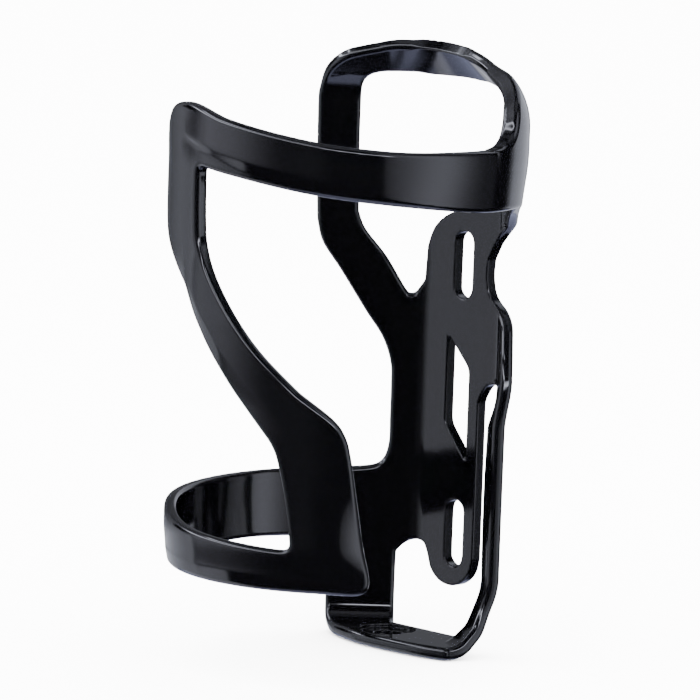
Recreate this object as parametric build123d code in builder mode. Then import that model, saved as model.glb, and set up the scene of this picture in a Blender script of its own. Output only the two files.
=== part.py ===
"""Side-entry water bottle cage, one moulded piece built as named members (mm).

Frame: the mounting face is Y = 0 with +Y towards the bicycle tube, +Z is up along the
bottle, and the origin lies midway between the two slots.  Angles run around the bottle
axis from the mounting plate (0) towards the entry side, +X (90), then the front (180).
"""
import os
from math import acos, atan2, cos, degrees, hypot, radians, sin, sqrt

from build123d import *

os.makedirs("parts", exist_ok=True)

# bottle space and wall
bore_radius = 37.2
wall = 3.0
axis_distance = 42.5
outer_radius = bore_radius + wall
floor_level = -57.8
floor_thickness = 2.6
floor_bend = 4.6
lip_start = 67.0
lip_bend = 13.0
lip_angle = 45.0
lip_length = 9.0
lip_foot = 60.0
wall_top = 76.0

# mounting plate
plate_half_width = 12.4
crease_bend = 5.0
slot_spacing = 64.0
slot_width = 5.6
slot_length = 16.0
boss_radius = 12.8
lobe_radius = 8.4
lobe_bottom = -44.8
arch_level = -35.0
plate_joint = 9.6
plate_split = 18.0

# foot
leg_bottom = -49.0
foot_radius = 27.0
foot_joint = 8.0
foot_corner = 18.6
tool_hole = 6.4
tool_hole_x = -8.0
tool_hole_y = -16.2
tool_recess = 13.4
tool_recess_depth = 1.0

# front members
ring_bottom = -35.3
strut_split_low = 6.0
strut_split_high = 33.0
knuckle_level = 55.5
knuckle_bulge = 0.6
knuckle_start = 188.0

# back frame
arm_top = 41.0
corner_level = 66.0
rail_end = 8.0
strut_top = 0.0
strut_bottom = -40.0

# size of cutting bodies
reach = 60.0

axis = (0, -axis_distance)
front_view = Plane.XZ.offset(-1)
plate_front = axis_distance - wall
corner_angle = atan2(plate_half_width, plate_front)
wing_angle = corner_angle + acos(bore_radius / hypot(plate_half_width, plate_front))


def around(angle, radius):
    """Plan position at an angle and radius around the bottle axis."""
    turn = radians(angle)
    return (radius * sin(turn), radius * cos(turn) - axis_distance)


def side_plane(angle):
    """Upright plane through the bottle axis that faces outwards at the angle."""
    turn = radians(angle)
    return Plane(
        origin=(0, -axis_distance, 0),
        x_dir=(-cos(turn), sin(turn), 0),
        z_dir=(sin(turn), cos(turn), 0),
    )


def on_side(centre, angle, height):
    """Position on side_plane(centre) of a wall point given by angle and height."""
    return (-(bore_radius + wall / 2) * sin(radians(angle - centre)), height)


def wall_plan(offset):
    """Plan of the wall surface: bottle circle, two straight wings and the flat plate."""
    radius = bore_radius + offset
    depth = plate_front + offset
    corner_x = (radius - depth * cos(wing_angle)) / sin(wing_angle)
    corner_y = depth - axis_distance
    wing_end = around(degrees(wing_angle), radius)
    with BuildSketch() as plan:
        with BuildLine():
            Polyline((-wing_end[0], wing_end[1]), (-corner_x, corner_y), (corner_x, corner_y), wing_end)
            ThreePointArc(wing_end, (0, -axis_distance - radius), (-wing_end[0], wing_end[1]))
        make_face()
        fillet(plan.vertices().group_by(Axis.Y)[-1], crease_bend + offset)
    return plan.sketch


def round_plan(radius):
    """Plan of a plain cylinder about the bottle axis."""
    with BuildSketch() as plan:
        with Locations(axis):
            Circle(radius)
    return plan.sketch


def prism(plan, low, high):
    """Upright prism of a plan face between two heights."""
    with BuildPart() as body:
        with BuildSketch(Plane.XY.offset(low)):
            add(plan)
        extrude(amount=high - low)
    return body.part


def cup(offset, low, bend):
    """Prism of the wall plan with a rounded bottom edge."""
    with BuildPart() as body:
        add(prism(wall_plan(offset), low, wall_top))
        fillet(body.faces().sort_by(Axis.Z)[0].edges(), bend)
    return body.part


def sector(start, end, low, high):
    """Wedge between two angles about the bottle axis and two heights."""
    steps = 6
    rim = [around(start + (end - start) * step / steps, reach) for step in range(steps + 1)]
    with BuildSketch() as plan:
        with BuildLine():
            Polyline(axis, *rim, axis)
        make_face()
    return prism(plan.sketch, low, high)


def strip(plane, upper, lower):
    """Prism as deep as the axis between an upper and a lower smooth edge line."""
    with BuildPart() as body:
        with BuildSketch(plane):
            with BuildLine():
                top = Spline(*upper)
                bottom = Spline(*lower)
                Line(top @ 0, bottom @ 0)
                Line(top @ 1, bottom @ 1)
            make_face()
        extrude(amount=axis_distance)
    return body.part


def fan(sections):
    """Body through radial slices, each given as angle, lower height and upper height."""
    with BuildPart() as body:
        for angle, low, high in sections:
            turn = radians(angle)
            radial = Plane(
                origin=(0, -axis_distance, 0),
                x_dir=(sin(turn), cos(turn), 0),
                z_dir=(cos(turn), -sin(turn), 0),
            )
            with BuildSketch(radial):
                with BuildLine():
                    Polyline(
                        (bore_radius - 8, low),
                        (reach, low),
                        (reach, high),
                        (bore_radius - 8, high),
                        close=True,
                    )
                make_face()
        loft()
    return body.part


def column(sections):
    """Body through level slices, each given as height, first angle and last angle."""
    with BuildPart() as body:
        for height, first, last in sections:
            with BuildSketch(Plane.XY.offset(height)):
                with BuildLine():
                    Polyline(
                        around(first, bore_radius - 8),
                        around(first, reach),
                        around(last, reach),
                        around(last, bore_radius - 8),
                        close=True,
                    )
                make_face()
        loft()
    return body.part


# wall bodies that every member is cut from
with BuildPart() as cage_wall:
    add(cup(wall, floor_level, floor_bend + wall))
    add(cup(0, floor_level + floor_thickness, floor_bend), mode=Mode.SUBTRACT)

lip_centre = bore_radius - lip_bend
lip_turn = radians(lip_angle)
with BuildPart() as lip_wall:
    with BuildSketch(side_plane(-90)):
        with BuildLine():
            inner_start = (bore_radius, lip_start)
            inner_bend = (lip_centre + lip_bend * cos(lip_turn), lip_start + lip_bend * sin(lip_turn))
            inner_end = (inner_bend[0] - lip_length * sin(lip_turn), inner_bend[1] + lip_length * cos(lip_turn))
            shift = (wall * cos(lip_turn), wall * sin(lip_turn))
            outer_bend = (inner_bend[0] + shift[0], inner_bend[1] + shift[1])
            outer_end = (inner_end[0] + shift[0], inner_end[1] + shift[1])
            Line((bore_radius, lip_foot), inner_start)
            RadiusArc(inner_start, inner_bend, -lip_bend)
            Line(inner_bend, inner_end)
            Line(inner_end, outer_end)
            Line(outer_end, outer_bend)
            RadiusArc(outer_bend, (outer_radius, lip_start), lip_bend + wall)
            Line((outer_radius, lip_start), (outer_radius, lip_foot))
            Line((outer_radius, lip_foot), (bore_radius, lip_foot))
        make_face()
    revolve(axis=Axis((0, -axis_distance, 0), (0, 0, 1)))

with BuildPart() as round_wall:
    add(prism(round_plan(outer_radius), floor_level, wall_top))
    add(prism(round_plan(bore_radius), floor_level, wall_top), mode=Mode.SUBTRACT)

with BuildPart() as slanted_wall:
    with BuildSketch(side_plane(-90)) as section:
        with BuildLine():
            Polyline(
                (outer_radius, strut_bottom),
                (outer_radius, -41.5),
                (36.2, -52.0),
                (30.9, floor_level),
                (foot_radius, floor_level),
                (foot_radius, floor_level + floor_thickness),
                (29.7, floor_level + floor_thickness),
                (33.3, -51.1),
                (bore_radius, -42.1),
                (bore_radius, strut_bottom),
                close=True,
            )
        make_face()
        bends = section.vertices().sort_by(Axis.Y)[:-2].sort_by(Axis.X)[2:]
        fillet(bends, floor_bend)
    revolve(axis=Axis((0, -axis_distance, 0), (0, 0, 1)))

with BuildPart() as flare_wall:
    add(prism(wall_plan(wall), floor_level, wall_top))
    add(prism(round_plan(bore_radius), floor_level, wall_top), mode=Mode.SUBTRACT)

with BuildPart() as knuckle_wall:
    add(prism(round_plan(outer_radius + knuckle_bulge), knuckle_level, wall_top))
    add(prism(round_plan(bore_radius), knuckle_level, wall_top), mode=Mode.SUBTRACT)

# long cutting bodies shared by neighbouring members, so that their edges run on
band_body = fan(
    [
        (68, 49.3, 63.6),
        (92, 49.8, 63.2),
        (118, 51.1, 63.2),
        (142, 52.8, 64.5),
        (166, 54.8, 66.9),
        (190, 57.0, 70.2),
    ]
)
ring_body = fan(
    [
        (-212, ring_bottom, -26.2),
        (-190, ring_bottom, -25.8),
        (-165, ring_bottom, -24.7),
        (-140, ring_bottom, -22.6),
        (-110, ring_bottom, -20.4),
        (-80, ring_bottom, -19.2),
        (-48, ring_bottom, -18.4),
    ]
)
strut_body = column(
    [
        (58.0, 191.2, 226.5),
        (47.0, 189.8, 223.0),
        (36.0, 185.6, 210.4),
        (26.0, 174.4, 193.2),
        (16.0, 159.8, 182.4),
        (6.0, 142.0, 168.4),
    ]
)
strut_low_body = column(
    [
        (6.0, 142.0, 168.4),
        (-2.0, 132.4, 156.8),
        (-12.0, 129.2, 152.8),
        (-26.0, 125.8, 150.2),
    ]
)

# mounting plate
with BuildPart() as upper_boss:
    with BuildSketch(front_view):
        with BuildLine():
            crown = CenterArc((0, slot_spacing / 2), boss_radius, 90, 90)
            shoulder = Spline(crown @ 0, (6, 45.6), (plate_joint, 47.2))
            Line(shoulder @ 1, (plate_joint, plate_split))
            Line((plate_joint, plate_split), (-plate_half_width, plate_split))
            Line((-plate_half_width, plate_split), (-plate_half_width, slot_spacing / 2 - 8))
            Line((-plate_half_width, slot_spacing / 2 - 8), crown @ 1)
        make_face()
        with Locations((0, slot_spacing / 2)):
            SlotOverall(slot_length, slot_width, rotation=90, mode=Mode.SUBTRACT)
    extrude(amount=axis_distance)
    add(cage_wall.part, mode=Mode.INTERSECT)

with BuildPart() as plate_web:
    with BuildSketch(front_view):
        with BuildLine():
            Polyline(
                (-plate_half_width, plate_split),
                (plate_joint, plate_split),
                (plate_joint, 5.0),
                (lobe_radius, 4.0),
                (lobe_radius, -plate_split),
                (-plate_half_width, -plate_split),
                close=True,
            )
        make_face()
        with BuildSketch(mode=Mode.PRIVATE) as window:
            with BuildLine():
                Polyline((-4.2, 15.2), (2.8, 7.6), (2.8, -14.4), (-4.2, -6.0), close=True)
            make_face()
            fillet(window.vertices(), 1.2)
        add(window.sketch, mode=Mode.SUBTRACT)
    extrude(amount=axis_distance)
    add(cage_wall.part, mode=Mode.INTERSECT)

with BuildPart() as lower_boss:
    with BuildSketch(front_view):
        with BuildLine():
            tip = CenterArc((0, lobe_bottom + lobe_radius), lobe_radius, 180, 180)
            Line(tip @ 1, (lobe_radius, -plate_split))
            Line((lobe_radius, -plate_split), (-plate_half_width, -plate_split))
            Line((-plate_half_width, -plate_split), (-plate_half_width, arch_level))
            arch = Line((-plate_half_width, arch_level), (-lobe_radius - 1.6, arch_level))
            Line(arch @ 1, tip @ 0)
        make_face()
        with Locations((0, -slot_spacing / 2)):
            SlotOverall(slot_length, slot_width, rotation=90, mode=Mode.SUBTRACT)
    extrude(amount=axis_distance)
    add(cage_wall.part, mode=Mode.INTERSECT)

# left side of the back frame
with BuildPart() as left_wing:
    add(
        strip(
            front_view,
            [(-plate_half_width, plate_split), (-plate_half_width, -plate_split)],
            [(-22.0, plate_split), (-18.9, 11.0), (-18.8, -2.0), (-18.8, -13.0), (-20.2, -plate_split)],
        )
    )
    add(cage_wall.part, mode=Mode.INTERSECT)

with BuildPart() as hoop_left_arm:
    add(
        strip(
            front_view,
            [(-25.0, arm_top), (-23.4, 37.4), (-17.6, 30.2), (-14.6, 26.0), (-plate_half_width, 24.0)],
            [(-32.4, arm_top), (-31.2, 35.2), (-27.6, 28.4), (-22.8, 19.6), (-22.0, plate_split)],
        )
    )
    with BuildSketch(front_view):
        with BuildLine():
            Polyline(
                (-22.0, plate_split),
                (-22.6, 19.4),
                (-plate_half_width, 24.0),
                (-plate_half_width, plate_split),
                close=True,
            )
        make_face()
    extrude(amount=axis_distance)
    add(cage_wall.part, mode=Mode.INTERSECT)

with BuildPart() as hoop_left_leg:
    with BuildSketch(front_view):
        with BuildLine():
            Polyline((-25.0, arm_top), (-32.4, arm_top), (-32.8, corner_level), (-25.0, corner_level), close=True)
        make_face()
    extrude(amount=axis_distance)
    add(cage_wall.part, mode=Mode.INTERSECT)

# top of the hoop
with BuildPart() as hoop_left_corner:
    add(
        strip(
            front_view,
            [(-33.2, corner_level), (-32.4, 74.0), (-29.0, 79.6), (-22.0, 83.2), (-13.0, 84.2)],
            [(-25.0, corner_level), (-24.4, 71.4), (-20.8, 75.2), (-15.6, 76.3), (-13.0, 76.4)],
        )
    )
    add(lip_wall.part, mode=Mode.INTERSECT)

with BuildPart() as hoop_top_rail:
    add(
        strip(
            front_view,
            [(-13.0, 84.2), (-4.0, 84.4), (3.0, 83.8), (rail_end, 82.6)],
            [(-13.0, 76.4), (-5.0, 76.3), (3.0, 75.7), (rail_end, 75.3)],
        )
    )
    add(lip_wall.part, mode=Mode.INTERSECT)

with BuildPart() as hoop_right_corner:
    add(
        strip(
            side_plane(44),
            [on_side(44, *point) for point in ((10, 83.5), (21, 81.4), (33, 79.2), (45, 76.8), (57, 73.4), (66, corner_level))],
            [on_side(44, *point) for point in ((10, 75.6), (24, 75.2), (36, 73.0), (44, corner_level))],
        )
    )
    with BuildSketch(front_view):
        with Locations((rail_end, corner_level)):
            Rectangle(reach, reach, align=(Align.MIN, Align.MIN))
    extrude(amount=axis_distance, mode=Mode.INTERSECT)
    add(lip_wall.part, mode=Mode.INTERSECT)

with BuildPart() as hoop_right_leg:
    add(
        fan(
            [
                (46.5, 49.0, corner_level),
                (56.0, 49.2, corner_level),
                (68.0, 49.3, corner_level),
            ]
        )
    )
    add(round_wall.part, mode=Mode.INTERSECT)

with BuildPart() as hoop_right_arm:
    add(
        strip(
            front_view,
            [(plate_joint, 47.2), (17.0, 50.4), (23.0, 54.6), (27.2, 61.0), (29.0, 66.0)],
            [(plate_joint, 33.0), (10.8, 36.4), (15.6, 41.4), (22.0, 46.2), (29.0, 49.0)],
        )
    )
    add(sector(0, 46.5, 30, 70), mode=Mode.INTERSECT)
    add(cage_wall.part, mode=Mode.INTERSECT)

# right side of the back frame
with BuildPart() as right_flare:
    add(
        strip(
            front_view,
            [(plate_joint, 26.0), (13.6, 22.6), (18.6, 19.6), (21.4, 15.0), (22.0, 8.0), (21.6, strut_top)],
            [(plate_joint, 4.8), (11.0, 4.6), (13.0, 4.0), (15.0, 3.0), (16.6, 1.6), (17.2, strut_top)],
        )
    )
    add(flare_wall.part, mode=Mode.INTERSECT)

with BuildPart() as right_strut:
    add(
        strip(
            front_view,
            [(21.6, strut_top), (20.9, -8.0), (20.8, -20.0), (21.0, strut_bottom)],
            [(17.2, strut_top), (15.2, -9.0), (14.4, -20.0), (14.4, strut_bottom)],
        )
    )
    add(round_wall.part, mode=Mode.INTERSECT)

with BuildPart() as right_strut_foot:
    add(slanted_wall.part)
    with BuildSketch(front_view):
        with BuildLine():
            inner_edge = Spline((14.4, strut_bottom), (13.2, -47.0), (10.2, -53.0), (foot_joint, floor_level))
            outer_edge = Spline((21.0, strut_bottom), (21.2, -47.0), (20.6, -53.0), (foot_corner, floor_level))
            Line(inner_edge @ 0, outer_edge @ 0)
            Line(inner_edge @ 1, outer_edge @ 1)
        make_face()
    extrude(amount=axis_distance, mode=Mode.INTERSECT)

# leg and foot below the bottle
with BuildPart() as frame_root:
    add(
        strip(
            front_view,
            [(-plate_half_width, -plate_split), (-20.0, -18.0), (-24.0, -18.1), (-30.4, -18.4)],
            [(-plate_half_width, arch_level), (-20.0, ring_bottom), (-24.0, ring_bottom), (-30.4, ring_bottom)],
        )
    )
    add(sector(-48, -10, ring_bottom, -plate_split), mode=Mode.INTERSECT)
    add(cage_wall.part, mode=Mode.INTERSECT)

with BuildPart() as foot_leg:
    with BuildSketch(front_view):
        with BuildLine():
            Polyline(
                (-13.0, ring_bottom),
                (-15.6, -36.4),
                (-16.6, -39.4),
                (-16.6, leg_bottom),
                (-28.4, leg_bottom),
                (-28.4, ring_bottom),
                close=True,
            )
        make_face()
    extrude(amount=axis_distance)
    add(cage_wall.part, mode=Mode.INTERSECT)

joint_start = (foot_joint, sqrt(foot_radius**2 - foot_joint**2) - axis_distance)
joint_end = (foot_corner, sqrt(foot_radius**2 - foot_corner**2) - axis_distance)
with BuildPart() as bottle_foot:
    with BuildSketch(Plane.XY.offset(floor_level)):
        with BuildLine():
            Polyline((-28.4, 0), (-16.6, 0), (-16.6, -7.4), (-14.4, -8.0), (foot_joint, -8.6), joint_start)
            RadiusArc(joint_start, joint_end, -foot_radius)
            front = Spline(joint_end, (10.0, -24.6), (0, -25.4), (-10, -24.8), (-20, -22.4), (-28.4, -19.0))
            Line(front @ 1, (-28.4, 0))
        make_face()
    extrude(amount=leg_bottom - floor_level)
    add(cage_wall.part, mode=Mode.INTERSECT)
    with BuildSketch(Plane.XY.offset(floor_level)):
        with Locations((tool_hole_x, tool_hole_y)):
            Circle(tool_hole / 2)
    extrude(amount=floor_bend, mode=Mode.SUBTRACT)
    with BuildSketch(Plane.XY.offset(floor_level + floor_thickness - tool_recess_depth)):
        with Locations((tool_hole_x, tool_hole_y)):
            Circle(tool_recess / 2)
    extrude(amount=floor_bend, mode=Mode.SUBTRACT)

# lower ring
with BuildPart() as ring_back:
    add(ring_body)
    add(sector(-98, -48, ring_bottom - 1, 0), mode=Mode.INTERSECT)
    add(round_wall.part, mode=Mode.INTERSECT)

with BuildPart() as ring_side:
    add(ring_body)
    add(sector(-152, -98, ring_bottom - 1, 0), mode=Mode.INTERSECT)
    add(round_wall.part, mode=Mode.INTERSECT)

with BuildPart() as ring_front:
    add(ring_body)
    add(sector(-208, -152, ring_bottom - 1, 0), mode=Mode.INTERSECT)
    add(round_wall.part, mode=Mode.INTERSECT)

# front strut
with BuildPart() as strut_foot:
    add(fan([(124.6, ring_bottom, -26.0), (138.0, ring_bottom, -26.0), (152.0, ring_bottom, -26.0)]))
    add(round_wall.part, mode=Mode.INTERSECT)

with BuildPart() as strut_lower:
    add(strut_low_body)
    add(sector(100, 250, -26.0, strut_split_low), mode=Mode.INTERSECT)
    add(round_wall.part, mode=Mode.INTERSECT)

with BuildPart() as strut_middle:
    add(strut_body)
    add(sector(120, 240, strut_split_low, strut_split_high), mode=Mode.INTERSECT)
    add(round_wall.part, mode=Mode.INTERSECT)

with BuildPart() as strut_upper:
    add(strut_body)
    add(sector(160, 250, strut_split_high, knuckle_level), mode=Mode.INTERSECT)
    add(round_wall.part, mode=Mode.INTERSECT)

# upper band
with BuildPart() as band_knuckle:
    with BuildSketch(side_plane(206)):
        with BuildLine():
            Line(on_side(206, knuckle_start - 2, 70.0), on_side(206, knuckle_start - 2, knuckle_level))
            Line(on_side(206, knuckle_start - 2, knuckle_level), on_side(206, 225.4, knuckle_level))
            Spline(
                on_side(206, 225.4, knuckle_level),
                on_side(206, 226.0, 61.0),
                on_side(206, 223.4, 66.2),
                on_side(206, 216.0, 69.8),
                on_side(206, 206.0, 71.2),
                on_side(206, 196.0, 70.8),
                on_side(206, knuckle_start - 2, 70.0),
            )
        make_face()
    extrude(amount=reach)
    add(sector(knuckle_start, 235, knuckle_level, wall_top), mode=Mode.INTERSECT)
    add(knuckle_wall.part, mode=Mode.INTERSECT)

with BuildPart() as band_left:
    add(band_body)
    add(sector(150, knuckle_start, 40, wall_top), mode=Mode.INTERSECT)
    add(round_wall.part, mode=Mode.INTERSECT)

with BuildPart() as band_front:
    add(band_body)
    add(sector(109, 150, 40, wall_top), mode=Mode.INTERSECT)
    add(round_wall.part, mode=Mode.INTERSECT)

with BuildPart() as band_right:
    add(band_body)
    add(sector(68, 109, 40, wall_top), mode=Mode.INTERSECT)
    add(round_wall.part, mode=Mode.INTERSECT)

members = {
    "upper_boss": upper_boss,
    "plate_web": plate_web,
    "lower_boss": lower_boss,
    "left_wing": left_wing,
    "hoop_left_arm": hoop_left_arm,
    "hoop_left_leg": hoop_left_leg,
    "hoop_left_corner": hoop_left_corner,
    "hoop_top_rail": hoop_top_rail,
    "hoop_right_corner": hoop_right_corner,
    "hoop_right_leg": hoop_right_leg,
    "hoop_right_arm": hoop_right_arm,
    "right_flare": right_flare,
    "right_strut": right_strut,
    "right_strut_foot": right_strut_foot,
    "frame_root": frame_root,
    "foot_leg": foot_leg,
    "bottle_foot": bottle_foot,
    "ring_back": ring_back,
    "ring_side": ring_side,
    "ring_front": ring_front,
    "strut_foot": strut_foot,
    "strut_lower": strut_lower,
    "strut_middle": strut_middle,
    "strut_upper": strut_upper,
    "band_knuckle": band_knuckle,
    "band_left": band_left,
    "band_front": band_front,
    "band_right": band_right,
}
for name, member in members.items():
    member.part.label = name
    export_step(member.part, f"parts/{name}.step")
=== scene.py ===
"""Looks of the side-entry bottle cage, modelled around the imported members.

The moulding is drawn in its unrolled wall, in millimetres: a place runs along the wall's plan from
the plate's middle towards +X, and a height runs along the wall, also where the wall bends over.
A thick rounded skin is then raised from that drawing and cut into pieces at the members' joints.
"""
import math

import bmesh
import bpy
import numpy as np
import openvdb
from mathutils import Matrix, Vector

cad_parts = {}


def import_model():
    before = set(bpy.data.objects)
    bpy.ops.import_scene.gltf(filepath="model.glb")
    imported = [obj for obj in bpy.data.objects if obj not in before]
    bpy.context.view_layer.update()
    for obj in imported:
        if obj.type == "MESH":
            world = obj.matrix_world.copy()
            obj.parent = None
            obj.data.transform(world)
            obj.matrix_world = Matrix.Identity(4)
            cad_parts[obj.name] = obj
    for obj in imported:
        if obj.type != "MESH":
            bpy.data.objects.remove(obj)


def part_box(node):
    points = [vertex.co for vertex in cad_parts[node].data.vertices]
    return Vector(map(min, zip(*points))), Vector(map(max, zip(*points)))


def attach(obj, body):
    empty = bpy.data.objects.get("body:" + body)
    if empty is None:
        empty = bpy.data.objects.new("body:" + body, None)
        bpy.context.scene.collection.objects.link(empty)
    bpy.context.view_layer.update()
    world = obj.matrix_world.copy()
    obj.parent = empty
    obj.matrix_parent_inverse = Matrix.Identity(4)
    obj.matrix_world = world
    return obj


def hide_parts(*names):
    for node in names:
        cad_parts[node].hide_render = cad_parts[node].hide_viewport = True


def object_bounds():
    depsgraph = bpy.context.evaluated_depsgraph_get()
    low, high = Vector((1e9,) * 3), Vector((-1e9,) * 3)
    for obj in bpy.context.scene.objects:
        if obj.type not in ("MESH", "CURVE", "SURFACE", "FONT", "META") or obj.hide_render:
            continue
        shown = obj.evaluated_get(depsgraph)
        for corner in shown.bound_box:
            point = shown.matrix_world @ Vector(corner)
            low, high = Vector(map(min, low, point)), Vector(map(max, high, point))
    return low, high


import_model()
cad_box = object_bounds()

MM = 0.001
PI = math.pi

# driving sizes in millimetres: the wall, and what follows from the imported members
WALL = 3.0
OUTER_RADIUS = -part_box("ring_side")[0].x / MM
AXIS_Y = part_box("ring_front")[0].y / MM + OUTER_RADIUS
FLOOR_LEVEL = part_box("bottle_foot")[0].z / MM
RING_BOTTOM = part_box("ring_side")[0].z / MM
PLATE_HALF_WIDTH = -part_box("plate_web")[0].x / MM
MID_RADIUS = OUTER_RADIUS - WALL / 2
FLOOR_MID = FLOOR_LEVEL + WALL / 2

# plan of the wall: flat plate, bend, straight wing, then the bottle circle
BEND_RADIUS = 6.5
HOOP_BEND_RADIUS = 32.0
PLATE_DEPTH = -AXIS_Y - WALL / 2
BORE_RADIUS = OUTER_RADIUS - WALL
PLATE_CORNER = (PLATE_HALF_WIDTH, PLATE_DEPTH - WALL / 2)
WING = math.atan2(*PLATE_CORNER) + math.acos(BORE_RADIUS / math.hypot(*PLATE_CORNER))


def bend_plan(radius):
    """X and depth of a bend's centre, then the places where the wing and the circle start."""
    depth = PLATE_DEPTH - radius
    x = ((MID_RADIUS - radius) - depth * math.cos(WING)) / math.sin(WING)
    wing_start = x + radius * WING
    return x, depth, wing_start, wing_start + depth * math.sin(WING) - x * math.cos(WING)


BEND_X, BEND_DEPTH, WING_START, CIRCLE_START = bend_plan(BEND_RADIUS)
PERIMETER = 2 * (CIRCLE_START + MID_RADIUS * (PI - WING))

# bends of the wall along its height: where each starts, its middle radius and its turn
LIP_BEND = (67.0, 14.5, math.radians(45))
LEG_BEND = (FLOOR_MID + 6.1, 6.1, math.radians(90))
FOOT_BENDS = (
    (-38.7, 16.0, math.radians(22)),
    (-50.8, 8.0, math.radians(21)),
    (-56.1, 6.1, math.radians(47)),
)

# X beyond which the wall's two legs bend into the foot
LEG_SIDE = 9.2

# roundings of the edges, and the extra thickness of the shoulder where band and hoop meet
SOFT_EDGE = 1.2
CRISP_EDGE = 0.35
SHOULDER = 1.3

# relief of the outer face above the plain wall, and how its facets slope away from their crests
ALONG_DEGREE = math.radians(MID_RADIUS)
CREST_HEIGHT = 0.45
BAND_UPPER_SLOPE = 0.05
BAND_LOWER_SLOPE = 0.27
STRUT_LEFT_SLOPE = 0.26
STRUT_RIGHT_SLOPE = 0.07
STRUT_FOOT_SLOPE = 0.03
STRUT_FOOT_ROLL = 0.019
RING_RECESS = 0.5
RING_CREST_LEVEL = -31.9
RING_UPPER_SLOPE = 0.05
RING_LOWER_SLOPE = 0.2
KNUCKLE_HEIGHT = 0.35

# fineness: cells of the charts and of the skin, and skin cells along a block that is sampled first
CELL = 0.4
GRID = 0.42
COARSE = 4
FIELD_REACH = 2.0
SKIN_MARGIN = 3
POINTS_AT_ONCE = 400000


# ---------------------------------------------------------------- places in the unrolled wall
def at(angle, height):
    """Point at an angle around the bottle axis, in degrees from the plate towards +X."""
    turn = math.radians(abs(angle))
    if turn < WING:
        place = CIRCLE_START - MID_RADIUS * math.tan(WING - turn)
    else:
        place = CIRCLE_START + MID_RADIUS * (turn - WING)
    return (math.copysign(place, angle), height)


def round_at(angle, height):
    """Point at an angle where the wall stays on the bottle circle, as the right strut does."""
    return (CIRCLE_START + MID_RADIUS * (math.radians(angle) - WING), height)


def across(x, height):
    """Point on the plate or a wing at its front-view X."""
    side = abs(x)
    bend_end = BEND_X + BEND_RADIUS * math.sin(WING)
    if side <= BEND_X:
        place = side
    elif side <= bend_end:
        place = BEND_X + BEND_RADIUS * math.asin((side - BEND_X) / BEND_RADIUS)
    else:
        place = WING_START + (side - bend_end) / math.cos(WING)
    return (math.copysign(place, x), height)


def front(angle, height):
    """Point at an angle reached the left way round, for the ring, the strut and the band."""
    return at(angle - 360, height)


# ---------------------------------------------------------------- outlines
def smooth(points, steps=6):
    """Smooth curve through the points."""
    points = np.array(points, float)
    if len(points) == 2:
        return points
    padded = np.vstack([2 * points[0] - points[1], points, 2 * points[-1] - points[-2]])
    curve = []
    for a, b, c, d in zip(padded, padded[1:], padded[2:], padded[3:]):
        square, cube = 2 * a - 5 * b + 4 * c - d, 3 * (b - c) + d - a
        for t in np.linspace(0, 1, steps, endpoint=False):
            curve.append(b + 0.5 * t * (c - a + t * (square + t * cube)))
    curve.append(points[-1])
    return np.array(curve)


def shortened(curve, length):
    """Curve without a given length at its end."""
    steps = np.linalg.norm(np.diff(curve, axis=0), axis=1)
    run = np.concatenate([[0], np.cumsum(steps)])
    keep = max(run[-1] - length, run[-1] * 0.4)
    end = np.array([np.interp(keep, run, curve[:, 0]), np.interp(keep, run, curve[:, 1])])
    return np.vstack([curve[run < keep - 1e-6], end])


def outline(*stretches):
    """Closed outline of stretches (points, rounding at the end); each starts where the last ended."""
    count = len(stretches)
    curves = []
    for index, (points, _) in enumerate(stretches):
        start = stretches[index - 1][0][-1]
        curves.append(smooth([start] + list(points)))
    loop = []
    for index in range(count):
        corner = curves[index][-1]
        curve = curves[index]
        before = stretches[index - 1][1]
        after = stretches[index][1]
        if before:
            curve = shortened(curve[::-1], before)[::-1]
        if after:
            curve = shortened(curve, after)
        loop.extend(curve)
        if after:
            following = shortened(curves[(index + 1) % count][::-1], after)[-1]
            for t in np.linspace(0, 1, 7)[1:-1]:
                loop.append((1 - t) ** 2 * curve[-1] + 2 * t * (1 - t) * corner + t**2 * following)
    loop = np.array(loop)
    gaps = np.linalg.norm(loop - np.roll(loop, 1, axis=0), axis=1)
    return loop[gaps > 1e-6]


def arc(centre, radius, start, end):
    """Points of an arc between two angles in degrees, anticlockwise from +place."""
    x, z = centre
    turns = np.radians(np.linspace(start, end, 7))
    return [(x + radius * math.cos(turn), z + radius * math.sin(turn)) for turn in turns]


def slot_outline(x, z, width, length):
    """Upright slot with round ends."""
    reach = (length - width) / 2
    upper = arc((x, z + reach), width / 2, 0, 180)
    lower = arc((x, z - reach), width / 2, 180, 360)
    return outline((upper, 0), (lower, 0), ([upper[0]], 0))


# angle where the band's end lies inside the hoop's right leg
BAND_RIGHT_END = 55

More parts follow.
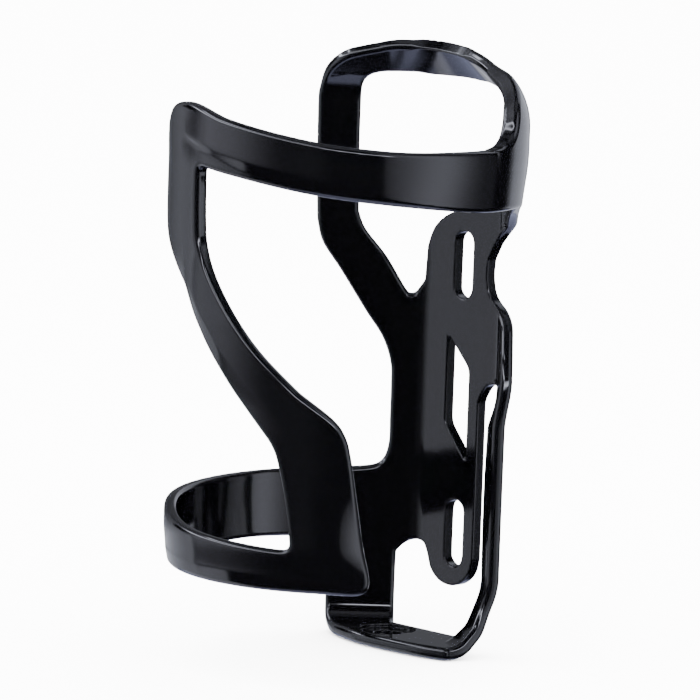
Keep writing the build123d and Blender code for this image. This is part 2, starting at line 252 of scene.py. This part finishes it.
# each stretch is drawn from the end of the one before, and its number rounds the corner at its end
back_outline = outline(
    # rim: from the band up the right leg, over the top and down the left leg
    ([at(82, 63.4)], 0),
    ([
        at(76, 64.2), at(71, 66.2), at(68, 69.5), at(64.5, 72.4), at(57, 75.4),
        at(48, 78.6), at(38, 81.2), at(28, 83.8), at(18, 85.9), at(5, 87.4),
    ], 0),
    ([at(-12, 87.9), at(-27, 87.8), at(-40, 85.6), at(-49, 82.8), at(-54.2, 78), at(-56, 71)], 0),
    ([at(-55.6, 55), at(-54.9, 41)], 1),
    ([
        at(-52.6, 35.4), at(-45.8, 28.8), at(-36.6, 19.3), at(-30.6, 13.2), at(-27.6, 7), at(-27.2, 1),
    ], 0),
    ([at(-27.2, -6), at(-27.3, -12.5), at(-29.5, -16.6), at(-35.5, -18.0), at(-52, -18.5)], 0),
    # root of the ring and the left leg down to the foot
    ([at(-52, RING_BOTTOM)], 0),
    ([at(-47.4, RING_BOTTOM)], 1.6),
    ([at(-47.4, -55.2)], 1.5),
    ([at(-45.0, -61.5)], 0),
    ([across(-16.6, -61.5)], 0),
    ([across(-16.6, -40.5), across(-16.2, -37.8), across(-14.6, -35.9), across(-12.3, -35.2)], 0),
    ([across(-9.9, -35.7), across(-8.7, -37.6)], 0),
    (arc((-1.1, -37.4), 7.4, 187, 360), 0),
    ([across(6.2, 0.5)], 1.5),
    ([across(9.2, 4.4), across(13.4, 4.4), round_at(25.2, 1.6), round_at(23.6, -4)], 0),
    # right strut and its foot
    ([
        round_at(22.4, -18), round_at(22.8, -36), round_at(24.4, -47),
        round_at(23.2, -55), round_at(19, -63),
    ], 0),
    ([round_at(40, -63)], 1.5),
    ([round_at(38.5, -58), round_at(36, -53), round_at(33.2, -47), round_at(32, -38)], 0),
    ([round_at(32, -18), round_at(32, -2), across(20.6, 5), across(18.8, 12), across(16, 18.2)], 0),
    ([across(13, 21.6), across(8.9, 25.2), across(7.6, 29.5), across(7.8, 34)], 0),
    ([
        across(10.4, 38.5), across(14, 41.8), across(20.6, 45.8),
        at(47, 48.3), at(57, 49.2), at(68, 49.3),
    ], 0),
    ([at(82, 49.4)], 0),
)

hoop_opening = outline(
    ([across(-14.8, 24.2)], 0),
    ([across(-15.6, 23.9), across(-16.6, 25.0), at(-30, 32.4), at(-37.5, 38.8), at(-40.2, 43)], 0),
    ([at(-40.6, 55), at(-40.6, 78.0)], 6.5),
    ([at(-20, 78.6), at(0, 78.2), at(24, 76.6), at(46, 74.4)], 7),
    ([at(46.5, 58)], 5),
    ([at(40, 54.8), across(17, 50.2), across(9.6, 47.8), across(5.4, 46.6), across(1.5, 45.3)], 0),
    (arc((0, 32), 12.9, 96, 165), 0),
    ([across(-12.9, 27.4)], 0),
)

front_outline = outline(
    # ring, front strut, knuckle and band, drawn the left way round from the root
    ([
        at(-67, -19.1), at(-96, -19.8), at(-125, -20.9),
        at(-145, -23.0), at(-164, -24.7), front(171, -25.8),
    ], 0),
    ([front(157, -26.2), front(150.4, -26.2)], 2.2),
    ([front(152.4, -17), front(154.4, -10), front(157, -3.4)], 3),
    ([front(167.4, 4), front(176.4, 9.9), front(188, 18.2), front(200.6, 28.4), front(212, 36)], 0),
    ([front(219, 40.6), front(223.6, 46), front(226, 53), front(226.3, 60), front(223.6, 66)], 0),
    ([front(216, 69.8), front(206, 71.2), front(196, 70.8), front(182, 68.7)], 0),
    ([
        front(158.6, 66.1), front(142, 64.5), front(118, 63.2),
        front(92, 63.2), front(BAND_RIGHT_END, 63.6),
    ], 0),
    ([front(BAND_RIGHT_END, 49.2)], 0),
    ([front(68, 49.3), front(87.4, 49.5), front(117, 51.1), front(145.5, 53), front(174.5, 55.8)], 0),
    ([front(193.4, 57.4)], 2.0),
    ([
        front(192.8, 46), front(191.2, 39.5), front(184.6, 32.2), front(167.8, 19.8), front(149.6, 9.3),
    ], 0),
    ([front(138, 3.8), front(133.4, -0.2), front(131.4, -5), front(129, -13.9), front(125.4, -26.4)], 0),
    ([front(122.9, RING_BOTTOM - 0.5)], 4.5),
    ([at(-110, RING_BOTTOM - 0.5), at(-75, RING_BOTTOM), at(-40, RING_BOTTOM)], 0),
    ([at(-40, -18.2)], 0),
)

window = outline(
    ([(-4.2, 15.2)], 1.2),
    ([(2.8, 7.6)], 1.6),
    ([(2.8, -14.4)], 1.2),
    ([(-4.2, -6.0)], 1.6),
)
slots = [slot_outline(0, z, 5.6, 16.0) for z in (32.0, -32.0)]

SHELF = outline(
    ([(-26.6, -15.0)], 1.5),
    ([(-16.6, -7.4)], 0),
    ([(-14.4, -8.0), (8.0, -8.6)], 0),
    ([(13.8, -15.0), (18.2, -22.9)], 1.5),
    ([(10.0, -24.8), (0, -25.4), (-10, -24.9), (-20, -22.0), (-25.6, -18.6)], 1.5),
)
TOOL_HOLE = (-8.0, -16.2)
TOOL_HOLE_RADIUS = 3.2
TOOL_RECESS_RADIUS = 6.7
TOOL_RECESS_DEPTH = 1.0

# crests where the outer face's facets meet, as (angle, height)
BAND_CREST = [(84, 49.2), (93, 50.0), (125, 53.7), (146, 57.0), (158.6, 58.6), (178, 60.9), (202, 64.2)]
STRUT_CREST = [
    (140.7, -31), (143.4, -20), (145.4, -12), (148.2, -4), (152.5, 1), (159.3, 5.4),
    (167.5, 10.6), (178.4, 17.7), (184, 21.5), (191, 26.4), (197.7, 33.5), (201.3, 40), (206.6, 57),
]
KNUCKLE_EDGE = [(189, 30), (190, 40), (191.5, 50), (193.4, 57), (202, 64.2), (203, 71)]


def loop_distance(place, height, loop):
    """Signed distance from a closed outline, negative inside."""
    best = np.full(place.shape, 1e9)
    inside = np.zeros(place.shape, bool)
    for (ax, ay), (bx, by) in zip(loop, np.roll(loop, -1, axis=0)):
        ex, ey = bx - ax, by - ay
        px, py = place - ax, height - ay
        t = np.clip((px * ex + py * ey) / (ex * ex + ey * ey), 0, 1)
        best = np.minimum(best, (px - t * ex) ** 2 + (py - t * ey) ** 2)
        if ay != by:
            crosses = (ay > height) != (by > height)
            inside ^= crosses & (px < py * ex / ey)
    return np.where(inside, -1, 1) * np.sqrt(best)


class Chart:
    """Distances drawn once on a fine grid of the unrolled wall, then read between its cells."""

    def __init__(self, low, high, draw):
        self.low = np.array(low, float)
        self.size = np.ceil((np.array(high) - low) / CELL).astype(int) + 1
        lines = [self.low[i] + CELL * np.arange(self.size[i]) for i in (0, 1)]
        place, height = np.meshgrid(*lines, indexing="ij")
        self.values = draw(place, height)

    def read(self, place, height):
        """Value between the cells, as a smooth quadratic blend of the nine nearest."""
        u = np.clip((place - self.low[0]) / CELL, 1, self.size[0] - 2.001)
        v = np.clip((height - self.low[1]) / CELL, 1, self.size[1] - 2.001)
        i, j = np.rint(u).astype(int), np.rint(v).astype(int)
        u, v = u - i, v - j
        across_u = (0.5 * (0.5 - u) ** 2, 0.75 - u**2, 0.5 * (0.5 + u) ** 2)
        across_v = (0.5 * (0.5 - v) ** 2, 0.75 - v**2, 0.5 * (0.5 + v) ** 2)
        value = 0
        for k in range(3):
            for m in range(3):
                value = value + across_u[k] * across_v[m] * self.values[i + k - 1, j + m - 1]
        return value


def draw_back(place, height):
    """Plate, wings, hoop, leg and right strut."""
    distance = loop_distance(place, height, back_outline)
    for hole in [hoop_opening, window] + slots:
        distance = np.maximum(distance, -loop_distance(place, height, hole))
    return distance


def draw_front(place, height):
    """Ring, front strut, knuckle and band."""
    return loop_distance(place, height, front_outline)


# each chart reaches past its outline, from its lowest place and height to its highest
back_chart = Chart((-62, -66), (76, 92), draw_back)
front_chart = Chart((-212, -40), (-20, 76), draw_front)
band_crest = smooth(BAND_CREST).T
strut_crest = smooth(STRUT_CREST).T
knuckle_edge = smooth(KNUCKLE_EDGE).T


# ---------------------------------------------------------------- the solid as a distance field
def ramp(value, low, high):
    """0 below low, 1 above high, smooth between."""
    t = np.clip((value - low) / (high - low), 0, 1)
    return t * t * (3 - 2 * t)


def plan(x, y, z):
    """Distance outside the wall's middle line in plan, and the place along it."""
    side = np.abs(x)
    depth = y - AXIS_Y
    sine, cosine = math.sin(WING), math.cos(WING)

    # the hoop turns in a wider bend than the plate's edges, and its places keep the same scale
    bend_radius = BEND_RADIUS + (HOOP_BEND_RADIUS - BEND_RADIUS) * ramp(z, 44, 62)
    bend_x, bend_depth, wing_start, circle_start = bend_plan(bend_radius)
    radius = np.hypot(side, depth)
    turn = np.arctan2(side, depth)
    dx, dy = side - bend_x, depth - bend_depth
    bend_turn = np.clip(np.arctan2(dx, dy), 0, WING)
    along = dx * cosine - dy * sine
    on_circle = turn > WING
    on_wing = ~on_circle & (along > 0)
    on_plate = ~on_circle & ~on_wing & (dx <= 0)
    out = np.hypot(dx, dy) - bend_radius
    place = bend_x + bend_radius * bend_turn
    out = np.where(on_wing, dx * sine + dy * cosine - bend_radius, out)
    place = np.where(on_wing, wing_start + along, place)
    out = np.where(on_plate, dy - bend_radius, out)
    place = np.where(on_plate, side, place) * CIRCLE_START / circle_start
    circle_place = CIRCLE_START + MID_RADIUS * (turn - WING)
    out = np.where(on_circle, radius - MID_RADIUS, out)
    place = np.where(on_circle, circle_place, place)
    return out, place, radius - MID_RADIUS, circle_place


def unbend(out, height, bend, upward, where):
    """Straightens one inward bend of the wall, where the mask says so."""
    start, radius, turn = bend
    sign = 1 if upward else -1
    past = sign * (height - start)
    reach = out + radius
    angle = np.arctan2(past, reach)
    in_arc = angle < turn
    far_out = reach * math.cos(turn) + past * math.sin(turn) - radius
    far_run = radius * turn - reach * math.sin(turn) + past * math.cos(turn)
    new_out = np.where(in_arc, np.hypot(past, reach) - radius, far_out)
    new_height = start + sign * np.where(in_arc, radius * angle, far_run)
    use = where & (past > 0)
    return np.where(use, new_out, out), np.where(use, new_height, height)


def soft_size(value, softness=0.3):
    """Absolute value with a rounded bottom."""
    return np.sqrt(value**2 + softness**2) - softness


def relief(angle, height):
    """How far the outer face of ring, strut, knuckle and band stands above the plain wall."""
    # band: a tall upper facet and a lower one that falls inwards
    above = height - np.interp(angle, *band_crest)
    band_slope = np.where(above > 0, BAND_UPPER_SLOPE, BAND_LOWER_SLOPE)
    band = CREST_HEIGHT - band_slope * soft_size(above)

    # strut: a narrow left facet; the right one rolls off towards the ring
    crest_angle = np.interp(height, strut_crest[1], strut_crest[0])
    lean = np.gradient(strut_crest[0], strut_crest[1]) * ALONG_DEGREE
    right_of = (crest_angle - angle) * ALONG_DEGREE
    right_of = right_of / np.sqrt(1 + np.interp(height, strut_crest[1], lean) ** 2)
    low = 1 - ramp(height, -6, 14)
    roll = STRUT_FOOT_ROLL * (1 - ramp(height, -24, -6))
    left_slope = STRUT_LEFT_SLOPE + (STRUT_FOOT_SLOPE - STRUT_LEFT_SLOPE) * low
    right_side = STRUT_RIGHT_SLOPE * (1 - low) * soft_size(right_of) + roll * right_of**2
    strut = CREST_HEIGHT - np.where(right_of > 0, right_side, left_slope * soft_size(right_of))
    past_strut = ramp(angle, 149, 158) * (1 - ramp(height, -22, -12))
    strut = strut * (1 - past_strut)

    # ring: set back behind the strut, and its lowest third falls inwards
    below = RING_CREST_LEVEL - height
    ring_slope = np.where(below > 0, RING_LOWER_SLOPE, -RING_UPPER_SLOPE)
    ring = -ring_slope * soft_size(below) - RING_RECESS
    ring = ring * ramp(angle, 128, 142)

    # the three run into each other by height, and the band also to the right of the knuckle
    on_band = np.maximum(ramp(height, 52, 60), ramp(-angle, -194, -188) * ramp(height, 40, 46))
    on_ring = 1 - ramp(height, -32, -25)
    face = strut + (band - strut) * on_band
    face = face + (ring - face) * on_ring

    # knuckle: one facet that rises towards the left, over the end of the band
    left_of = (angle - np.interp(height, knuckle_edge[1], knuckle_edge[0])) * ALONG_DEGREE
    knuckle_slope = 0.045 + 0.04 * ramp(height, 56, 68)
    knuckle = KNUCKLE_HEIGHT + knuckle_slope * left_of - WALL * (1 - ramp(height, 14, 42))
    raised = (face + knuckle + np.sqrt((face - knuckle) ** 2 + 0.03)) / 2

    # the ring's end is level with the wing that it leaves
    return raised * (1 - ramp(angle, 280, 302))


def rounded(flat, out, inner, outer, edge):
    """Distance from a plate with rounded edges, from its distance in the sheet and out of it."""
    middle = (outer - inner) / 2
    half = (outer + inner) / 2
    a = flat + edge
    b = np.abs(out - middle) - half + edge
    return np.minimum(np.maximum(a, b), 0) + np.hypot(np.maximum(a, 0), np.maximum(b, 0)) - edge


def moulding(x, y, z):
    """Distance from the moulding's surface, negative inside, in millimetres."""
    out, place, circle_out, circle_place = plan(x, y, z)
    turn = np.degrees(np.arctan2(x, y - AXIS_Y))

    # the right strut leaves the wing's line and stays on the bottle circle
    on_circle = ramp(-z, -7, 5) * ramp(x, 9, 13) * (turn < 60)
    out = out + (circle_out - out) * on_circle
    place = place + (circle_place - place) * on_circle

    # heights run along the wall where it bends over into the lip and the foot
    back = np.abs(turn) < 100
    out, height = unbend(out, z, LIP_BEND, True, back)
    out, height = unbend(out, height, LEG_BEND, False, back & (x < -LEG_SIDE))
    for bend in FOOT_BENDS:
        out, height = unbend(out, height, bend, False, back & (x > LEG_SIDE))
    place = np.copysign(place, x)

    # back frame, with a shoulder that stands out where the band joins it
    shoulder = SHOULDER * ramp(turn, 28, 50) * (1 - ramp(turn, 84, 120)) * ramp(height, 46, 62)
    crisp = 1 - ramp(np.abs(place), 9, 15)
    edge = SOFT_EDGE + (CRISP_EDGE - SOFT_EDGE) * crisp
    solid = rounded(back_chart.read(place, height), out, WALL / 2, WALL / 2 + shoulder, edge)

    # ring, strut, knuckle and band
    place = np.where(place > 0, place - PERIMETER, place)
    angle = np.where(turn < 0, turn + 360, turn)
    raised = relief(angle, height) + shoulder * (turn > 0)
    rise = np.maximum(raised, 0) * ramp(angle, 190, 204)
    flat = front_chart.read(place, height)
    return np.minimum(solid, rounded(flat, out, WALL / 2 - rise, WALL / 2 + raised, SOFT_EDGE))


def foot(x, y, z):
    """Distance from the shelf under the bottle."""
    return rounded(loop_distance(x, y, SHELF), z - FLOOR_MID, WALL / 2, WALL / 2, SOFT_EDGE)


def cut_foot(solid, x, y, z, edge=CRISP_EDGE):
    """Takes the recess and the hole out of the shelf, with rounded edges."""
    radius = np.hypot(x - TOOL_HOLE[0], y - TOOL_HOLE[1])
    top = FLOOR_LEVEL + WALL
    recess = np.maximum(radius - TOOL_RECESS_RADIUS, top - TOOL_RECESS_DEPTH - z)
    cut = -np.minimum(recess, radius - TOOL_HOLE_RADIUS)
    rounded_cut = np.hypot(np.maximum(solid + edge, 0), np.maximum(cut + edge, 0))
    rounded_cut = np.minimum(np.maximum(solid, cut), -edge) + rounded_cut
    return np.where((z < top + 4) & (radius < TOOL_RECESS_RADIUS + 1), rounded_cut, solid)


def cage(points):
    """Distance from the whole cage at an array of points in millimetres."""
    x, y, z = points[..., 0], points[..., 1], points[..., 2]
    solid = moulding(x, y, z)
    low = (z < FLOOR_LEVEL + 6) & (y > -32)
    if low.any():
        near = points[low]
        shelf = np.minimum(solid[low], foot(near[..., 0], near[..., 1], near[..., 2]))
        solid[low] = cut_foot(shelf, near[..., 0], near[..., 1], near[..., 2])
    return solid


def slope(points, step=0.12):
    """Direction in which the distance grows, which is the surface's normal."""
    grads = []
    for axis in range(3):
        offset = np.zeros(3)
        offset[axis] = step
        grads.append(cage(points + offset) - cage(points - offset))
    grads = np.stack(grads, axis=-1)
    return grads / np.maximum(np.linalg.norm(grads, axis=-1, keepdims=True), 1e-9)


def skin():
    """Points and faces of the cage's surface."""
    low, high = [np.array(corner) / MM for corner in cad_box]
    low, high = low - SKIN_MARGIN, high + SKIN_MARGIN
    block = GRID * COARSE
    blocks = np.ceil((high - low) / block).astype(int)
    field = np.full(blocks * COARSE, FIELD_REACH, np.float32)

    # only the blocks near the surface are sampled in full
    middles = cage(low + block * (np.stack(np.indices(blocks), axis=-1) + 0.5))
    near = np.abs(middles) < block * 1.6
    inner = np.stack(np.indices((COARSE, COARSE, COARSE)), axis=-1).reshape(-1, 3)
    where = (np.argwhere(near)[:, None, :] * COARSE + inner).reshape(-1, 3)
    for first in range(0, len(where), POINTS_AT_ONCE):
        part = where[first : first + POINTS_AT_ONCE]
        field[tuple(part.T)] = np.clip(cage(low + GRID * part), -FIELD_REACH, FIELD_REACH)
    grid = openvdb.FloatGrid(FIELD_REACH)
    grid.copyFromArray(field)
    points, faces = grid.convertToQuads(0.0)
    points = low + GRID * points.astype(float)

    # pull the points onto the surface itself
    for _ in range(3):
        points -= slope(points) * np.clip(cage(points), -0.5, 0.5)[:, None]
    return points, faces


# ---------------------------------------------------------------- pieces
def level(z):
    """Cut across the height: the first side is below."""
    return (0, AXIS_Y, z), (0, 0, 1)


def upright_cut(x):
    """Cut across the front view: the first side is to the left."""
    return (x, AXIS_Y, 0), (1, 0, 0)


def radial(angle):
    """Cut through the bottle axis: the first side has the smaller angles."""
    turn = math.radians(angle)
    return (0, AXIS_Y, 0), (math.cos(turn), -math.sin(turn), 0)


def chord(first, second):
    """Upright cut through the wall at two angles: the first side is towards the front."""
    turns = [math.radians(angle) for angle in (first, second)]
    (ax, ay), (bx, by) = [(MID_RADIUS * math.sin(turn), MID_RADIUS * math.cos(turn)) for turn in turns]
    return (ax, AXIS_Y + ay, 0), (ay - by, bx - ax, 0)


def beyond(angle, distance):
    """Upright cut square to a direction: the first side is nearer to the axis."""
    turn = math.radians(angle)
    way = (math.sin(turn), math.cos(turn), 0)
    return (way[0] * distance, AXIS_Y + way[1] * distance, 0), way


# each cut holds what lies on its first and on its second side
MEMBERS = (level(-49.0), (beyond(30, 27.0), "bottle_foot", "right_strut_foot"), (
    chord(-48, 68),
    (level(-17.0),
        (radial(152), (level(-26.0), "strut_foot", "strut_lower"),
            (radial(208), "ring_front", (radial(262), "ring_side", "ring_back"))),
        (level(6.0), "strut_lower", (level(33.0), "strut_middle", (level(45.0), "strut_upper",
            (radial(188), (radial(150), (radial(109), "band_right", "band_front"), "band_left"),
                (level(55.5), "strut_upper", "band_knuckle")))))),
    (level(66.0),
        (upright_cut(-12.4),
            (level(-18.0), (level(-35.3), "foot_leg", "frame_root"),
                (level(18.0), "left_wing", (level(41.0), "hoop_left_arm", "hoop_left_leg"))),
            (upright_cut(9.6),
                (level(-18.0), "lower_boss", (level(18.0), "plate_web", "upper_boss")),
                (level(29.5),
                    (level(-40.0), "right_strut_foot", (level(0.0), "right_strut", "right_flare")),
                    (radial(46.5), "hoop_right_arm", "hoop_right_leg")))),
        (upright_cut(-13.0), "hoop_left_corner",
            (upright_cut(8.0), "hoop_top_rail", "hoop_right_corner"))),
))


def halves(shape, cut):
    """The two closed parts of a shape on the sides of a cut; the shape itself is used up."""
    place, way = cut
    parts = (shape.copy(), shape)
    for part, keep_first in zip(parts, (True, False)):
        whole = part.verts[:] + part.edges[:] + part.faces[:]
        bmesh.ops.bisect_plane(part, geom=whole, dist=1e-5, plane_co=place, plane_no=way,
                               clear_outer=keep_first, clear_inner=not keep_first)
        rim = [edge for edge in part.edges if edge.is_boundary]
        bmesh.ops.holes_fill(part, edges=rim, sides=0)
    return parts


def share_out(shape, cuts, found):
    """Follows the cuts down to the members and collects each member's parts."""
    if isinstance(cuts, str):
        found.setdefault(cuts, []).append(shape)
        return
    cut, first, second = cuts
    for part, rest in zip(halves(shape, cut), (first, second)):
        share_out(part, rest, found)


def joined_mesh(name, shapes):
    """Mesh in metres of a member's parts, which are used up, with the skin's own normals."""
    mesh = bpy.data.meshes.new(name)
    joined = shapes[0]
    for extra in shapes[1:]:
        spare = bpy.data.meshes.new("spare")
        extra.to_mesh(spare)
        joined.from_mesh(spare)
        extra.free()
    joined.to_mesh(mesh)
    joined.free()
    corners = np.empty(len(mesh.vertices) * 3, np.float32)
    mesh.vertices.foreach_get("co", corners)
    corners = corners.reshape(-1, 3).astype(float)
    normals = slope(corners)
    mesh.vertices.foreach_set("co", (corners * MM).astype(np.float32).reshape(-1))
    mesh.update()
    mesh.polygons.foreach_set("use_smooth", [True] * len(mesh.polygons))
    mesh.normals_split_custom_set_from_vertices(normals.tolist())
    return mesh


def build_members():
    """One piece of the skin for each member, standing for its node."""
    points, faces = skin()
    whole = bpy.data.meshes.new("skin")
    whole.from_pydata(points.tolist(), [], faces.tolist())
    shape = bmesh.new()
    shape.from_mesh(whole)
    found = {}
    share_out(shape, MEMBERS, found)
    pieces = []
    for name, shapes in found.items():
        piece = bpy.data.objects.new(name + "_skin", joined_mesh(name, shapes))
        bpy.context.scene.collection.objects.link(piece)
        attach(piece, "root")
        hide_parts(name)
        pieces.append(piece)
    return pieces


# ---------------------------------------------------------------- material
def gloss_black():
    """Black moulded plastic, whose colour is almost all in its reflections."""
    material = bpy.data.materials.new("gloss_black")
    material.use_nodes = True
    shader = material.node_tree.nodes["Principled BSDF"]
    shader.inputs["Base Color"].default_value = (0.0003, 0.0003, 0.0005, 1)
    shader.inputs["Roughness"].default_value = 0.09
    shader.inputs["IOR"].default_value = 1.5
    return material


plastic = gloss_black()
for piece in build_members():
    piece.data.materials.append(plastic)


# ---------------------------------------------------------------- stage, light and camera
# the camera's angles are in degrees, and its distance and the shift of its aim in metres
CAMERA_AZIMUTH = 44.4
CAMERA_ELEVATION = 8.0
CAMERA_LEAN = 2.0
CAMERA_DISTANCE = 1.0
CAMERA_LENS = 223.7
AIM_RIGHT = 0.0023
AIM_UP = 0.0143
CARD_TINT = (0.97, 1.0, 1.14)
PALE_FLOOR_TINT = (0.7, 0.75, 1.1)
SKY_STRENGTH = 16.0
TENT_RADIUS = 6.0
TENT_STEP = 1.5  # degrees
FLOOR_REACH = 8.0
FLOOR_GAP = 0.0002


def studio_light(azimuth, elevation):
    """Brightness that the gloss meets in a direction; azimuth runs as the cage's angles do."""

    def box(low, high, soft=1.5):
        return ramp(azimuth, low - soft, low + soft) * (1 - ramp(azimuth, high - soft, high + soft))

    upright = ramp(elevation, -24, -20) * (1 - ramp(elevation, 50, 62))
    right_box = box(27, 111) * (0.1 + 2.0 * np.exp(-(((azimuth - 80) / 23) ** 2)))

    left_box = box(150, 247, 10) * (0.08 + 0.95 * ramp(azimuth, 176, 222))
    left_box = left_box * (0.35 + 0.65 * ramp(elevation, -19, -12)) * (1 + 0.35 * ramp(elevation, -5, 2))

    far_left_box = 0.85 - 0.66 * ramp(azimuth, 252, 292)
    far_left_box = far_left_box + (1.0 - far_left_box) * (1 - ramp(elevation, -12, -9.5))
    far_left_box = far_left_box * box(247, 330, 2)
    flag = box(247, 268, 1) * ramp(elevation, -3, 0) * (1 - ramp(elevation, 22, 25))

    behind = 1.1 * (box(330, 367, 6) + box(-30, 7, 6))
    light = (right_box + left_box + far_left_box * (1 - flag) + behind) * upright
    light = light + 1.4 * box(217, 272, 2) * ramp(elevation, -62, -58) * (1 - ramp(elevation, -24, -20))

    # thin lamps that draw the bright lines along the edges, then the ceiling
    lower_lamp = ramp(elevation, 27, 28) * (1 - ramp(elevation, 32, 33))
    upper_lamp = ramp(elevation, 44, 45) * (1 - ramp(elevation, 47, 48))
    light = light + 12.0 * (lower_lamp + upper_lamp) * box(150, 262, 8)
    light = light + 14.0 * box(104, 150, 4) * ramp(elevation, 20, 21) * (1 - ramp(elevation, 26, 27))
    light = light + 0.5 * ramp(elevation, 62, 70) + 0.02

    pale_floor = box(268, 345, 6) * (1 - ramp(elevation, -27, -19))
    pale_floor = np.maximum(pale_floor, 1.8 * (1 - ramp(elevation, -66, -56)))
    glow = [card * light + pale * pale_floor for card, pale in zip(CARD_TINT, PALE_FLOOR_TINT)]
    return np.stack(glow + [np.ones_like(light)], axis=-1)


def dome():
    """Light tent that is seen only in the gloss."""
    lines = (np.arange(0, 360, TENT_STEP), np.arange(-90, 90.1, TENT_STEP))
    azimuth, elevation = np.meshgrid(*lines, indexing="ij")
    turn, rise = np.radians(azimuth), np.radians(elevation)
    way = np.stack([np.sin(turn) * np.cos(rise), np.cos(turn) * np.cos(rise), np.sin(rise)], axis=-1)
    columns, rows = azimuth.shape
    index = np.arange(columns * rows).reshape(columns, rows)
    after = np.roll(index, -1, axis=0)
    faces = np.stack([index[:, :-1], after[:, :-1], after[:, 1:], index[:, 1:]], axis=-1).reshape(-1, 4)
    mesh = bpy.data.meshes.new("light_tent")
    mesh.from_pydata((way.reshape(-1, 3) * TENT_RADIUS).tolist(), [], faces.tolist())
    glow = mesh.color_attributes.new("glow", "FLOAT_COLOR", "POINT")
    glow.data.foreach_set("color", studio_light(azimuth, elevation).reshape(-1))

    material = bpy.data.materials.new("light_tent")
    material.use_nodes = True
    nodes, links = material.node_tree.nodes, material.node_tree.links
    nodes.remove(nodes["Principled BSDF"])
    colour = nodes.new("ShaderNodeVertexColor")
    colour.layer_name = "glow"
    shader = nodes.new("ShaderNodeEmission")
    links.new(colour.outputs["Color"], shader.inputs["Color"])
    links.new(shader.outputs[0], nodes["Material Output"].inputs["Surface"])
    mesh.materials.append(material)

    tent = bpy.data.objects.new("light_tent", mesh)
    bpy.context.scene.collection.objects.link(tent)
    tent.location = (0, AXIS_Y * MM, 0)
    for kind in ("camera", "diffuse", "transmission", "volume_scatter", "shadow"):
        setattr(tent, "visible_" + kind, False)


def floor():
    """Pale floor just under the cage, which its gloss doesn't show."""
    mesh = bpy.data.meshes.new("floor")
    top = FLOOR_LEVEL * MM - FLOOR_GAP
    ways = ((-1, -1), (1, -1), (1, 1), (-1, 1))
    mesh.from_pydata([(x * FLOOR_REACH, y * FLOOR_REACH, top) for x, y in ways], [], [(0, 1, 2, 3)])
    material = bpy.data.materials.new("floor")
    material.use_nodes = True
    shader = material.node_tree.nodes["Principled BSDF"]
    shader.inputs["Base Color"].default_value = (0.9, 0.9, 0.9, 1)
    shader.inputs["Roughness"].default_value = 0.9
    mesh.materials.append(material)
    sheet = bpy.data.objects.new("floor", mesh)
    bpy.context.scene.collection.objects.link(sheet)
    sheet.visible_glossy = False


def world():
    """White surroundings."""
    sky = bpy.data.worlds.new("studio")
    sky.use_nodes = True
    sky.node_tree.nodes["Background"].inputs["Color"].default_value = (1, 1, 1, 1)
    sky.node_tree.nodes["Background"].inputs["Strength"].default_value = SKY_STRENGTH
    bpy.context.scene.world = sky


def camera():
    """Camera a metre from the bottle axis, turned to the front right, raised a little and leaning."""
    azimuth, elevation = math.radians(CAMERA_AZIMUTH), math.radians(CAMERA_ELEVATION)
    lean = math.radians(CAMERA_LEAN)
    back = Vector((math.sin(azimuth) * math.cos(elevation), -math.cos(azimuth) * math.cos(elevation),
                   math.sin(elevation)))
    level_right = Vector((math.cos(azimuth), math.sin(azimuth), 0))
    level_up = back.cross(level_right)
    right = level_right * math.cos(lean) + level_up * math.sin(lean)
    up = back.cross(right)
    target = Vector((0, AXIS_Y * MM, 0))
    place = target + back * CAMERA_DISTANCE
    aim = target + right * AIM_RIGHT + up * AIM_UP
    view = (place - aim).normalized()
    right = (right - view * right.dot(view)).normalized()
    up = view.cross(right)
    data = bpy.data.cameras.new("camera")
    data.sensor_width = 36
    data.lens = CAMERA_LENS
    data.clip_end = 50
    eye = bpy.data.objects.new("camera", data)
    bpy.context.scene.collection.objects.link(eye)
    eye.matrix_world = Matrix((right, up, view)).transposed().to_4x4()
    eye.matrix_world.translation = place
    bpy.context.scene.camera = eye


camera()
floor()
world()
dome()
